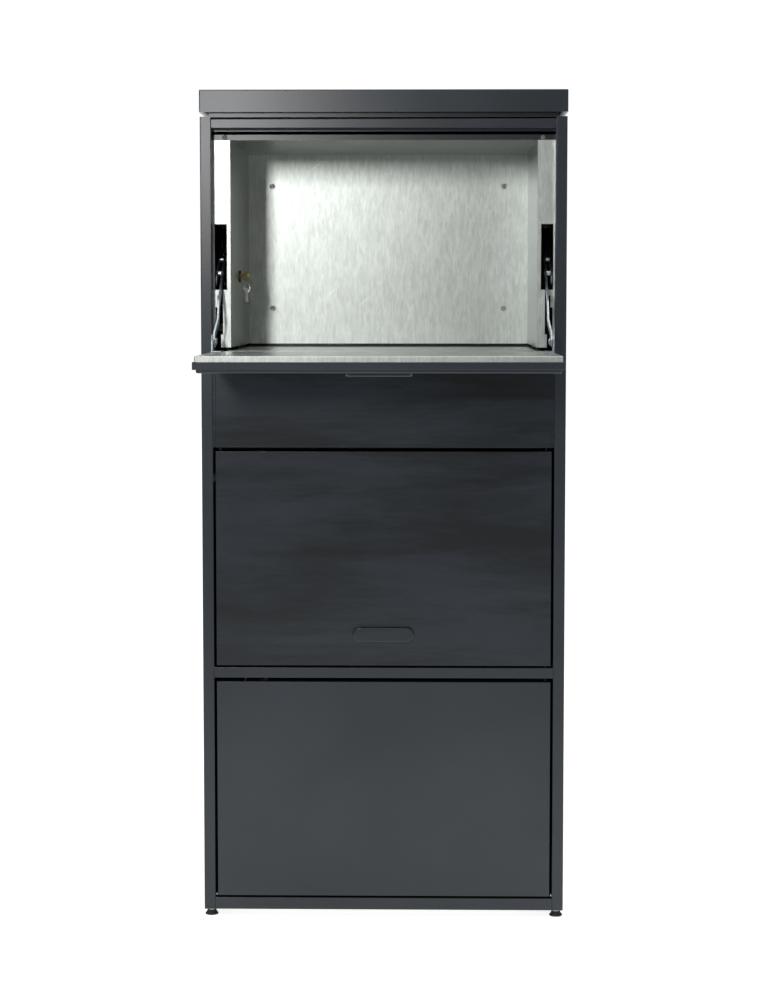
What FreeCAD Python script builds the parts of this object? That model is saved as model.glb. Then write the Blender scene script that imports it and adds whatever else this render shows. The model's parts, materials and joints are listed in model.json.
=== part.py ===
import FreeCAD, Part
import math
import os

# Parcel drop box. Millimetres. X to the right, Y to the back, Z up.
# The pieces are drawn with Y = 0 on the front face of the posts and Z = 0 on the floor.
# On export everything moves by ORIGIN_SHIFT, so the origin is the centre of the footprint
# on the floor, taken with the drop door open.

os.makedirs("parts", exist_ok=True)
Vector = FreeCAD.Vector

# ---- driving dimensions ----
width = 578.0                # over the posts
depth = 430.0                # front of the posts to back of the rear posts
post_top = 1277.0
post_face = 18.0             # face of a post
post_cover = 1.0             # posts reach this far behind the front flanges
tube_wall = 1.5
sheet = 1.0                  # panels and pans
panel_return = 12.0          # folded edge of a panel
bend_radius = 1.0            # outside of a folded edge
tube_corner = 1.5
rail_depth = 16.0

cap_height = 35.0
cap_gap = 8.0                # shadow gap under the cap
cap_overhang = 1.0
cap_corner = 1.5
cap_rim = 10.0
neck_inset = 13.0

foot_height = 10.6
foot_radius = 10.5
foot_inset = 11.0            # foot centre from the outer faces
foot_stud_radius = 4.0
foot_base = 2.0              # straight part of the foot
foot_taper = 3.5
nut_height = 2.0
nut_radius = 6.5
stud_reach = 30.0            # foot stud inside the post

bottom_rail_height = 19.4
middle_rail_top = 404.7
middle_rail_height = 16.8
top_rail_height = 14.5
top_rail_drop = 2.6          # top rail below the tops of the posts
rail_lip = 2.4               # folded lip behind the seams
seam = 3.2                   # seam over and under the front doors
wide_seam = 6.2              # seam with a lip behind it
side_gap = 4.0               # front panels to posts
storage_door_height = 343.4
fascia_gap_to_hinge = 13.0   # top of the fascia below the drop door's hinge axis
front_thickness = 22.0       # front doors and fascia

hopper_half = 243.7          # inside of the drop compartment, from the middle
bumper_height = 3.0          # closed door's back to the front flanges and the lintel
back_void = 19.0             # behind the compartment, for the wall fixings
floor_level = 910.0          # compartment floor and inside of the open door
wall_lift = 5.4              # walls above the floor flap
ceiling_drop = 14.0          # ceiling below the top of the closed door
lintel_height = 8.5
lintel_depth = 32.0
hem = 12.0

door_thickness = 25.0
door_lip = 8.8               # galvanised liner standing out of the door skin
door_step = 5.0              # raised front of the door skin and its inset
door_gap = 3.0               # door to posts
liner_inset = 3.0
door_corner = 2.5            # raised front of the door skin
door_top_gap = 2.9           # closed door to the top rail
door_swing_gap = 1.2         # swinging nose of the door to flap and flanges
door_axis_in = 8.0           # hinge axis behind the closed door's face
nose_ahead = 3.0             # hinge axis inside the closed door's lower edge

pivot_ahead = 64.0           # door pivot of the arm, ahead of the hinge axis
pivot_lift = 16.0            # and above the inside of the open door
arm_run = 231.0              # arm pivot to pivot, along Y
arm_rise = 186.0
arm_width = 16.0
arm_thickness = 2.5
arm_joggle = 4.6             # the arm's eye stands this far outside its bar
plate_standoff = 6.0         # arm's outer plate from its bar
knee_ahead = 34.0            # knee of the arm from its door pivot
knee_up = 59.0
crank_standoff = 7.8         # compartment wall's inner face to the crank
crank_to_arm = 3.0
crank_thickness = 2.5
arm_pin_over = 2.0           # crank's arm pin beyond the outer plate
link_pin_over = 1.5          # link pins beyond the flap link
stud_shoulder = 4.0          # crank stud's shoulder beyond its journal
stud_head_flare = 2.5
stud_head_height = 2.0
link_start = math.radians(135)   # link pins from the line of their axes, drop door open
link_crank = 24.0            # radius of the flap link's pins
link_width = 14.0
pin_radius = 3.5
stud_radius = 4.0
running_fit = 0.05
side_play = 0.5

flap_thickness = 10.0
flap_overhang = 8.3          # flap beyond the compartment's inner faces, each side
flap_axis_below = 6.0        # flap hinge axis below the compartment floor
flap_axis_ahead = 9.0        # flap hinge axis ahead of the back wall
flap_end_gap = 3.0           # flap's rear edge ahead of the back wall

hinge_pin_radius = 3.0
front_axis_in = 8.0          # hinge axis of the front doors behind their face
front_axis_edge = 8.5        # and from their right edge

pull_width = 98.0
pull_height = 24.2
pull_out = 6.0
pull_up = 38.3               # bottom of the pull above the door's lower edge
pull_round = 2.5             # soft outer edge of the pressing

slot_low = 114.0             # upper slot in the flange, above the door's axis, for the arm
slot_high = 218.0
notch_low = 43.0             # lower slot, above the door's axis, for the door's bracket
notch_high = 86.0
slot_inset = 5.8             # upper slot from the compartment's inner face
slot_edge = 2.0              # metal left beside the upper slot
notch_edge = 2.5             # and beside the lower one
slit_play = 0.9              # arm in the slits, each side
foot_relief = 2.2            # pivot bolt's head beside the arm's eye
bumper_inset = 8.0           # bumpers from the compartment's inner faces
bumper_up = 4.2              # above the ceiling
bumper_radius = 4.0
bumper_gap = 0.2             # closed door to the bumpers

lock_y = 200.0
lock_z = 1030.0
lock_radius = 8.0
core_radius = 5.0
cam_standoff = 14.8          # compartment wall's inner face to the cam
cam_thickness = 2.0
cam_far = 22.0               # follower pin below the lock's axis, unlocked
cam_travel = 12.0            # rise of the latch rod in a quarter turn
cam_steps = 6                # points along the cam's slot
cam_radius = 28.0
cam_heel = 10.0              # cam past its axis, on the sides without a slot
circlip_flare = 1.0
circlip_thickness = 1.0
barrel_over = 1.0            # lock's barrel into its collar
collar_height = 3.0
collar_flare = 2.0
core_recess = 0.2            # core's face behind the collar's
lock_nut_thickness = 4.0
lock_nut_flare = 3.5
keyway_depth = 8.0
keyway_half_width = 1.0
keyway_half_height = 3.5
follower_radius = 2.5
follower_play = 0.3
cam_to_rod = 3.5
rod_thickness = 2.5
rod_width = 12.0
rod_head = 8.0               # rod above its follower pin
rod_step_below = 40.0        # rod steps forward this far below the fascia's top
rod_step_clear = 7.0         # lower rod behind its finger
finger_below = 3.0           # lowered finger under the striker plate
follower_end = 0.5           # follower pin beyond the cam
guide_levels = (940.0, 700.0)
guide_height = 12.0
guide_wall = 4.0
guide_front = 2.5            # guide on the compartment's side of the rod
guide_side_play = 0.8
striker_height = 600.0
bolt_knob_x = -196.0         # slide bolt of the base door
bolt_y = 40.0
bolt_z = 372.0
bolt_radius = 4.0
bolt_throw = 16.0
bolt_front = 30.0            # bolt's tip beyond its knob
bolt_rear = 22.0
bolt_stem_radius = 3.0
bolt_play = 0.5
lug_thickness = 4.0
lug_width = 16.0
keeper_gap = 3.5             # drawn bolt to the keeper
keeper_thickness = 2.5
keeper_foot = 24.0
knob_radius = 7.0
knob_height = 12.0
knob_gap = 2.0               # knob above the storage floor

bolt_inset = 41.7            # wall fixings from the compartment's sides
bolt_spacing_z = 212.0
bolt_centre_z = 1083.0
bolt_hole_radius = 3.25
plug_head_radius = 4.6
plug_head_height = 1.2
plug_stem = 4.0
plug_recess_radius = 1.8
spacer_wall = 3.0

hinge_pin_length = 16.0
stiffener_width = 52.0
stiffener_foot = 18.0
stiffener_inset = 90.0
ear_width = 10.0             # door's hinge ears
ear_drop = 8.5               # below the lower edge of the closed door
bracket_radius = 12.0
bracket_foot = 16.0
bracket_thickness = 2.0
bracket_foot_thickness = 1.5
pivot_head_height = 3.0
pivot_head_flare = 2.5
joggle_low = 12.0            # joggle of the arm, from its door pivot
joggle_high = 36.0
arm_bolt_radius = 2.5
joggle_relief = 19.0         # wider part of the slit, above the lower slot
arm_bolt_shares = (0.38, 0.56)
arm_plate_share = 0.30
arm_sleeve_wall = 2.5        # distance sleeve on the arm's bolts
flap_block = 10.0            # solid block at each end of the floor flap
flap_block_ahead = 8.0       # reaches this far ahead of the link's pin
stay_half = 9.0              # floor flap's hinge stay, about its axis
stay_thickness = 3.0
pin_hold = 12.0              # hinge pin into the piece on each side of a seam
hinge_pin_inset = 2.0        # drop door's pins, their middle from the post
storage_hat_up = 40.0        # storage door's stiffener, above the door's middle
storage_hat_height = 40.0
striker_width = 18.0
striker_thickness = 2.5
striker_drop = 20.0
striker_play = 1.5
striker_reach = 22.0
finger_y = 31.0
finger_width = 8.0
finger_low = 585.0
key_hole_radius = 2.4
key_half = 0.9               # half a key's thickness
key_out = 11.0               # bow's centre from the compartment's wall
key_bow_radius = 7.0
key_blade_depth = 7.0
key_blade_overlap = 5.0      # blade ends this far short of the bow's centre
key_blade_half = 3.2
key_hole_out = 1.5
key_hole_down = 3.6
link_ring_radius = 5.0
link_ring_wire = 0.6
link_ring_drop = 0.9         # ring's wire below the top of the key's hole
spare_hole_drop = 2.3        # spare key's hole below the link ring
spare_hole_radius = 3.2
spare_bow_radius = 6.9
spare_bow_drop = 3.0         # bow's centre below its hole
spare_blade_half = 2.6
spare_blade_end = 22.0       # below the bow's centre
spare_blade_start = 5.0
big_ring_radius = 13.2
big_ring_wire = 0.8
big_ring_drop = 2.1

cut_over = 1.0               # a hole's tool reaches this far past a face

# ---- worked out ----
half = width / 2
inner = half - post_face                     # inner faces of the posts
front_half = inner - side_gap
panel_inside = half - sheet
back_inside = depth - 2 * sheet
post_bottom = foot_height
bottom_rail_top = post_bottom + bottom_rail_height
middle_rail_bottom = middle_rail_top - middle_rail_height
top_rail_top = post_top - top_rail_drop
top_rail_bottom = top_rail_top - top_rail_height
base_door_bottom = bottom_rail_top + seam
base_door_top = middle_rail_bottom - wide_seam
storage_door_bottom = middle_rail_top + seam
storage_door_top = storage_door_bottom + storage_door_height
fascia_bottom = storage_door_top + wide_seam
cap_bottom = post_top + cap_gap
cap_top = cap_bottom + cap_height
deck_top = post_top + sheet

door_outer_level = floor_level - door_thickness
door_axis = Vector(0, door_axis_in, door_outer_level + door_axis_in)
fascia_top = door_axis.z - fascia_gap_to_hinge
door_closed_top = top_rail_bottom - door_top_gap
door_front = door_axis.y - (door_closed_top - door_axis.z)
door_rear = door_axis_in - nose_ahead
door_low = door_axis.z + nose_ahead          # lower edge of the closed door
door_half = inner - door_gap
liner_half = door_half - liner_inset

hopper_front = door_thickness + bumper_height
post_depth = hopper_front + sheet + post_cover
hopper_back = depth - back_void
wall_bottom = floor_level + wall_lift
ceiling_level = door_closed_top - ceiling_drop
bolt_spacing_x = 2 * (hopper_half - bolt_inset)

crank_plane = hopper_half + crank_standoff
arm_plane = crank_plane + crank_thickness + crank_to_arm
arm_foot_plane = arm_plane + arm_joggle
arm_plate_plane = arm_plane + arm_thickness + plate_standoff
flap_half = hopper_half + flap_overhang
cam_plane = hopper_half + cam_standoff
rod_plane = cam_plane + cam_to_rod

pivot_up = floor_level + pivot_lift - door_axis.z
door_pivot = door_axis + Vector(0, -pivot_ahead, pivot_up)
crank_axis = door_axis + Vector(0, arm_run, arm_rise)
arm_top = crank_axis + Vector(0, -pivot_ahead, pivot_up)
knee = door_pivot + Vector(0, knee_ahead, knee_up)

flap_axis = Vector(0, hopper_back - flap_axis_ahead, floor_level - flap_axis_below)
nose_reach = math.hypot(door_axis.y - door_rear, floor_level - door_axis.z)
flap_front = door_axis.y + nose_reach + door_swing_gap
link_line = math.atan2(flap_axis.z - crank_axis.z, flap_axis.y - crank_axis.y)
link_high = link_line + link_start
link_low = link_line - link_start
link_pin = crank_axis + Vector(0, math.cos(link_high), math.sin(link_high)) * link_crank
flap_pin = flap_axis + Vector(0, math.cos(link_low), math.sin(link_low)) * link_crank
link_slip = 2 * link_crank * (1 + math.cos(link_start))

front_axis_x = front_half - front_axis_edge
ORIGIN_SHIFT = Vector(0, -(door_front + depth + cap_overhang) / 2, 0)


# ---- shapes ----
def box(x0, x1, y0, y1, z0, z1):
    return Part.makeBox(x1 - x0, y1 - y0, z1 - z0, Vector(x0, y0, z0))


def wide(half_width, y0, y1, z0, z1):
    return box(-half_width, half_width, y0, y1, z0, z1)


def rod_x(x0, x1, at, radius):
    return Part.makeCylinder(radius, x1 - x0, Vector(x0, at.y, at.z), Vector(1, 0, 0))


def rod_z(x, y, z0, z1, radius):
    return Part.makeCylinder(radius, z1 - z0, Vector(x, y, z0))


def rod_y(x, y0, y1, z, radius):
    return Part.makeCylinder(radius, y1 - y0, Vector(x, y0, z), Vector(0, 1, 0))


def plate_x(points, x0, x1):
    """A flat plate whose outline is a list of (y, z) points, from x0 to x1."""
    wire = Part.makePolygon([Vector(x0, y, z) for y, z in points + points[:1]])
    return Part.Face(wire).extrude(Vector(x1 - x0, 0, 0))


def bar_x(a, b, bar_width, x0, x1):
    """A flat bar with round ends, from point a to point b, between two X planes."""
    along = Vector(0, b.y - a.y, b.z - a.z)
    along.normalize()
    across = Vector(0, -along.z, along.y) * (bar_width / 2)
    corners = [a + across, b + across, b - across, a - across]
    bar = plate_x([(p.y, p.z) for p in corners], x0, x1)
    ends = [rod_x(x0, x1, p, bar_width / 2) for p in (a, b)]
    return bar.fuse(ends).removeSplitter()


def mirrored(shape):
    return shape.mirror(Vector(0, 0, 0), Vector(1, 0, 0))


def export(name, *solids):
    shape = solids[0] if len(solids) == 1 else Part.makeCompound(list(solids))
    shape = shape.copy()
    shape.translate(ORIGIN_SHIFT)
    shape.exportStep("parts/" + name + ".step")


def both_sides(name, right):
    export(name + "_right", right)
    export(name + "_left", mirrored(right))


def pill(long, high, y0, y1, z0, soft_edge):
    """A flat pill with its long axis along X, softened round its edge at y0."""
    r = high / 2
    body = box(r - long / 2, long / 2 - r, y0, y1, z0, z0 + high)
    ends = [rod_y(s * (long / 2 - r), y0, y1, z0 + r, r) for s in (-1, 1)]
    body = body.fuse(ends).removeSplitter()
    return body.makeFillet(soft_edge, [e for e in body.Edges if e.BoundBox.YMax < y0 + sheet / 2])


def pull_cut(shape, z_low):
    """Presses a finger pull into a panel that faces -Y at Y = 0: a hollow pill, open below."""
    shell = pill(pull_width, pull_height, -pull_out, 0, z_low, pull_round)
    hollow = pill(pull_width - 2 * sheet, pull_height - 2 * sheet, sheet - pull_out, sheet,
                  z_low + sheet, pull_round - sheet)
    mouth_half = (pull_width - pull_height) / 2
    mouth = wide(mouth_half, sheet - pull_out, 0, z_low - sheet, z_low + 3 * sheet)
    return shape.fuse(shell).cut([hollow, mouth])


def softened(shape, radius, pick):
    """The shape with a fillet on the edges whose bounding box passes the test."""
    return shape.makeFillet(radius, [e for e in shape.Edges if pick(e.BoundBox)])


# ---- frame ----
def free_corner(x0, y0, edge):
    """True for a post's upright edges on its outer side, and on its front if it is a front post."""
    outward = abs(edge.XMin) > half - sheet
    at_front = y0 < sheet and edge.YMax < sheet
    return outward and (at_front or edge.YMin > depth - sheet) or at_front


def tube_post(x0, y0):
    outer = box(x0, x0 + post_face, y0, y0 + post_depth, post_bottom, post_top)
    outer = softened(outer, tube_corner, lambda e: e.ZLength > sheet and free_corner(x0, y0, e))
    hollow = box(x0 + tube_wall, x0 + post_face - tube_wall, y0 + tube_wall,
                 y0 + post_depth - tube_wall, post_bottom, post_top)
    return outer.cut(hollow)


def frame():
    pin_hole = [rod_x(s * inner - tube_wall - sheet, s * inner + tube_wall + sheet, door_axis,
                      hinge_pin_radius + running_fit) for s in (-1, 1)]
    fronts = [tube_post(x, 0).cut(pin_hole) for x in (-half, inner)]
    export("front_posts", *fronts)
    export("rear_posts", *[tube_post(x, depth - post_depth) for x in (-half, inner)])

    y0 = post_depth
    y1 = depth - post_depth
    skin = box(panel_inside, half, y0, y1, post_bottom, post_top)
    folds = [box(panel_inside - panel_return, panel_inside, y, y + sheet, post_bottom, post_top)
             for y in (y0, y1 - sheet)]
    both_sides("side_panel", skin.fuse(folds).removeSplitter())

    skin = wide(inner, back_inside, depth - sheet, post_bottom, post_top)
    folds = [box(x, x + sheet, back_inside - panel_return, back_inside, post_bottom, post_top)
             for x in (-inner, inner - sheet)]
    back = skin.fuse(folds).removeSplitter()
    for x in (-bolt_spacing_x / 2, bolt_spacing_x / 2):
        for z in (bolt_centre_z - bolt_spacing_z / 2, bolt_centre_z + bolt_spacing_z / 2):
            back = back.cut(rod_y(x, back_inside - sheet, depth, z, bolt_hole_radius))
    export("back_panel", back)


def channel(z0, z1, lip):
    """A front rail: a channel open to the back, with a lip hanging behind the seam below."""
    rail = softened(wide(inner, 0, rail_depth, z0, z1), bend_radius,
                    lambda e: e.YMax < sheet / 2 and e.XLength > sheet)
    rail = rail.cut(wide(inner, sheet, rail_depth, z0 + sheet, z1 - sheet))
    if lip:
        rail = rail.fuse(wide(inner, rail_depth - sheet, rail_depth, z0 - lip, z0 + sheet))
    return rail.removeSplitter()


def hinge_holes(shape, z):
    return shape.cut(rod_z(front_axis_x, front_axis_in, z - 2 * sheet, z + 2 * sheet,
                           hinge_pin_radius + running_fit))


def rails():
    export("bottom_rail", hinge_holes(channel(post_bottom, bottom_rail_top, 0), bottom_rail_top))
    middle = channel(middle_rail_bottom, middle_rail_top, rail_lip)
    export("middle_rail", hinge_holes(hinge_holes(middle, middle_rail_top), middle_rail_bottom))
    top = channel(top_rail_bottom, top_rail_top, 0)
    shelf = wide(inner, rail_depth - sheet, hopper_front - sheet, top_rail_bottom, top_rail_bottom + sheet)
    lip = wide(inner, hopper_front - 2 * sheet, hopper_front - sheet,
               top_rail_bottom - rail_lip - sheet, top_rail_bottom + sheet)
    export("top_rail", top.fuse([shelf, lip]).removeSplitter())

    skin = softened(wide(front_half, 0, front_thickness, fascia_bottom, fascia_top), bend_radius,
                    lambda e: e.YMax < sheet / 2)
    hollow = wide(front_half - sheet, sheet, front_thickness, fascia_bottom + sheet, fascia_top - sheet)
    lip = wide(front_half, front_thickness - sheet, front_thickness, fascia_bottom - rail_lip, fascia_bottom)
    tabs = [box(s * inner - (s > 0) * side_gap, s * inner + (s < 0) * side_gap, sheet,
                front_thickness, fascia_bottom, fascia_top) for s in (-1, 1)]
    fascia = skin.cut(hollow).fuse([lip] + tabs).removeSplitter()
    export("fascia_panel", hinge_holes(fascia, fascia_bottom))


def roof():
    deck = box(-half, half, 0, depth, post_top, deck_top)
    neck = box(-half + neck_inset, half - neck_inset, neck_inset, depth - neck_inset,
               post_top, cap_top - sheet)
    inside = box(-half + neck_inset + sheet, half - neck_inset - sheet, neck_inset + sheet,
                 depth - neck_inset - sheet, deck_top, cap_top)
    export("roof_deck", deck.fuse(neck).cut(inside).removeSplitter())

    reach = half + cap_overhang
    outer = box(-reach, reach, -cap_overhang, depth + cap_overhang, cap_bottom, cap_top)
    outer = softened(outer, cap_corner, lambda e: e.ZMax > cap_top - sheet or e.ZLength > sheet)
    inside = box(-reach + sheet, reach - sheet, -cap_overhang + sheet, depth + cap_overhang - sheet,
                 cap_bottom, cap_top - sheet)
    rim_out = box(-reach + sheet, reach - sheet, -cap_overhang + sheet, depth + cap_overhang - sheet,
                  cap_bottom, cap_bottom + sheet)
    rim_in = box(-reach + cap_rim, reach - cap_rim, cap_rim - cap_overhang, depth + cap_overhang - cap_rim,
                 cap_bottom, cap_bottom + sheet)
    export("cap_lid", outer.cut(inside).fuse(rim_out.cut(rim_in)).removeSplitter())


def floors():
    def floor_plate(z):
        middle = wide(panel_inside, post_depth + sheet, depth - post_depth - sheet, z - sheet, z)
        ends = wide(inner - sheet, rail_depth, back_inside, z - sheet, z)
        return middle.fuse(ends).removeSplitter()
    floor = floor_plate(middle_rail_top)
    slot_radius = bolt_stem_radius + bolt_play
    slot_z = (middle_rail_top - 2 * sheet, middle_rail_top + sheet)
    slot = box(bolt_knob_x - bolt_throw, bolt_knob_x, bolt_y - slot_radius, bolt_y + slot_radius, *slot_z)
    slot_ends = [rod_z(x, bolt_y, *slot_z, slot_radius) for x in (bolt_knob_x - bolt_throw, bolt_knob_x)]
    floor = floor.cut([slot] + slot_ends)
    for x in (bolt_knob_x - bolt_front + bolt_play, bolt_knob_x + bolt_stem_radius + bolt_play):
        floor = floor.fuse(box(x, x + lug_thickness, bolt_y - lug_width / 2, bolt_y + lug_width / 2,
                               bolt_z - lug_width / 2, middle_rail_top - sheet))
    bolt_bore = rod_x(bolt_knob_x - bolt_front - cut_over, bolt_knob_x + bolt_rear,
                      Vector(0, bolt_y, bolt_z), bolt_radius + running_fit)
    export("storage_floor", floor.cut(bolt_bore).removeSplitter())
    export("bottom_panel", floor_plate(bottom_rail_top))


def feet():
    places = [(sx * (half - foot_inset), y) for sx in (-1, 1) for y in (foot_inset, depth - foot_inset)]
    pads = []
    studs = []
    for x, y in places:
        flare = Part.makeCone(foot_radius, foot_radius - foot_taper, foot_height - nut_height - foot_base,
                              Vector(x, y, foot_base))
        base = rod_z(x, y, 0, foot_base, foot_radius)
        pads.append(base.fuse(flare).removeSplitter())
        nut = rod_z(x, y, foot_height - nut_height, foot_height, nut_radius)
        stud = rod_z(x, y, foot_height - nut_height, foot_height + stud_reach, foot_stud_radius)
        studs.append(nut.fuse(stud).removeSplitter())
    export("foot_pads", *pads)
    export("foot_studs", *studs)


# ---- drop compartment ----
def hopper():
    wall = box(hopper_half, hopper_half + sheet, hopper_front, hopper_back + sheet,
               wall_bottom, ceiling_level)
    flange = box(hopper_half, inner, hopper_front, hopper_front + sheet, wall_bottom, ceiling_level)
    edge = box(inner - sheet, inner, hopper_front, hopper_front + hem, wall_bottom, ceiling_level)
    right = wall.fuse([flange, edge]).removeSplitter()
    y0 = hopper_front - sheet
    y1 = hopper_front + 2 * sheet
    z0 = door_axis.z
    eye = arm_foot_plane + arm_thickness
    slit_in = arm_plane - slit_play
    notch_out = inner - notch_edge
    right = right.cut([
        box(hopper_half + slot_inset, inner - slot_edge, y0, y1, z0 + slot_low, z0 + slot_high),
        box(slit_in, notch_out, y0, y1, z0 + notch_low, z0 + notch_high),
        box(slit_in, arm_plane + arm_thickness + slit_play, y0, y1, z0 + notch_high, z0 + slot_low),
        box(slit_in, eye + slit_play, y0, y1, z0 + notch_high, z0 + notch_high + joggle_relief),
        box(arm_foot_plane - foot_relief, notch_out, y0, y1, wall_bottom, z0 + notch_low),
    ])
    stud_hole = rod_x(hopper_half - sheet, hopper_half + 2 * sheet, crank_axis, stud_radius)
    right = right.cut(stud_hole)
    export("hopper_wall_right", right)
    lock_at = Vector(0, lock_y, lock_z)
    lock_hole = rod_x(-hopper_half - 2 * sheet, -hopper_half + sheet, lock_at, lock_radius)
    export("hopper_wall_left", mirrored(right).cut(lock_hole))

    export("hopper_ceiling", wide(hopper_half + sheet, hopper_front + sheet, hopper_back + sheet,
                                  ceiling_level, ceiling_level + sheet))
    back = wide(hopper_half, hopper_back, hopper_back + sheet, wall_bottom, ceiling_level)
    spacers = []
    plugs = []
    for x in (-bolt_spacing_x / 2, bolt_spacing_x / 2):
        for z in (bolt_centre_z - bolt_spacing_z / 2, bolt_centre_z + bolt_spacing_z / 2):
            back = back.cut(rod_y(x, hopper_back - sheet, hopper_back + 2 * sheet, z, bolt_hole_radius))
            tube = rod_y(x, hopper_back + sheet, back_inside, z, bolt_hole_radius + spacer_wall)
            spacers.append(tube.cut(rod_y(x, hopper_back, depth, z, bolt_hole_radius)))
            head = rod_y(x, hopper_back - plug_head_height, hopper_back, z, plug_head_radius)
            stem = rod_y(x, hopper_back, hopper_back + plug_stem, z, bolt_hole_radius - running_fit)
            recess = rod_y(x, hopper_back - 2 * plug_head_height, hopper_back + sheet, z, plug_recess_radius)
            plugs.append(head.fuse(stem).cut(recess).removeSplitter())
    export("hopper_back_wall", back)
    export("wall_spacers", *spacers)
    export("wall_hole_plugs", *plugs)

    face = wide(inner, hopper_front, hopper_front + sheet, ceiling_level, ceiling_level + lintel_height)
    top = wide(inner, hopper_front, hopper_front + lintel_depth,
               ceiling_level + lintel_height - sheet, ceiling_level + lintel_height)
    export("door_stop_lintel", face.fuse(top).removeSplitter())
    bumpers = [rod_y(s * (hopper_half + bumper_inset), door_thickness + bumper_gap, hopper_front,
                     ceiling_level + bumper_up, bumper_radius) for s in (-1, 1)]
    export("door_bumpers", *bumpers)


# ---- drop door, drawn closed and then turned open ----
def opened(shape):
    turned = shape.copy()
    turned.rotate(door_axis, Vector(1, 0, 0), 90)
    return turned


def door_tray(half_width, y0, y1, inset, open_at_back):
    """One pressed tray of the door: a face with four returns."""
    low = door_low + inset
    high = door_closed_top - inset
    outer = wide(half_width, y0, y1, low, high)
    inside_y = (y0 + sheet, y1 + sheet) if open_at_back else (y0 - sheet, y1 - sheet)
    return outer, wide(half_width - sheet, inside_y[0], inside_y[1], low + sheet, high - sheet)


def drop_door():
    skin_depth = door_thickness - door_lip
    front, front_hollow = door_tray(door_half - door_step, 0, door_step + sheet, door_step, True)
    front = softened(front, door_corner, lambda e: e.YMax < sheet / 2 or e.YLength > sheet)
    band, band_hollow = door_tray(door_half, door_step, skin_depth, 0, True)
    band = softened(band, bend_radius, lambda e: e.YMax < door_step + sheet / 2 or e.YLength > sheet)
    skin = front.fuse(band).cut([front_hollow, band_hollow]).removeSplitter()
    skin = pull_cut(skin, door_closed_top - pull_up - pull_height)
    ear_in = door_half - ear_width
    for s in (-1, 1):
        ear = box(min(s * ear_in, s * door_half), max(s * ear_in, s * door_half), sheet,
                  skin_depth, door_low - ear_drop, door_low + 2 * ear_drop)
        skin = skin.fuse(ear)
    skin = skin.cut(rod_x(-half, half, door_axis, hinge_pin_radius + running_fit)).removeSplitter()
    export("door_skin", opened(skin))

    liner, liner_hollow = door_tray(liner_half, skin_depth, door_thickness, liner_inset, False)
    liner = softened(liner, bend_radius, lambda e: e.YMin > door_thickness - sheet or e.YLength > sheet)
    export("door_liner", opened(liner.cut(liner_hollow)))

    low = door_low + stiffener_inset
    high = door_closed_top - stiffener_inset
    hat_half = stiffener_width / 2
    hat = wide(hat_half, sheet, door_thickness - sheet, low, high)
    hollow = wide(hat_half - sheet, 2 * sheet, door_thickness, low, high)
    feet_strip = wide(hat_half + stiffener_foot, door_thickness - 2 * sheet, door_thickness - sheet,
                      low, high)
    export("door_stiffener", opened(hat.fuse(feet_strip).cut(hollow).removeSplitter()))

    mid_pin = inner - hinge_pin_inset
    pins = [rod_x(s * mid_pin - hinge_pin_length / 2, s * mid_pin + hinge_pin_length / 2,
                  door_axis, hinge_pin_radius) for s in (-1, 1)]
    export("door_hinge_pins", *pins)


def door_brackets():
    ear_x = arm_foot_plane + arm_thickness + side_play
    ear_out = ear_x + bracket_thickness
    ear = rod_x(ear_x, ear_out, door_pivot, bracket_radius)
    web = box(ear_x, ear_out, door_pivot.y - bracket_radius, door_pivot.y + bracket_radius,
              floor_level, door_pivot.z)
    foot = box(ear_out - bracket_foot, ear_out, door_pivot.y - 2 * bracket_radius,
               door_pivot.y + 2 * bracket_radius, floor_level, floor_level + bracket_foot_thickness)
    hole = rod_x(ear_x - cut_over, ear_out + cut_over, door_pivot, pin_radius)
    both_sides("door_bracket", ear.fuse([web, foot]).cut(hole).removeSplitter())
    head_out = arm_foot_plane - side_play
    bolt = rod_x(head_out, ear_out, door_pivot, pin_radius)
    head = rod_x(head_out - pivot_head_height, head_out, door_pivot, pin_radius + pivot_head_flare)
    bolt = bolt.fuse(head).removeSplitter()
    export("door_pivot_bolts", bolt, mirrored(bolt))


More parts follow.
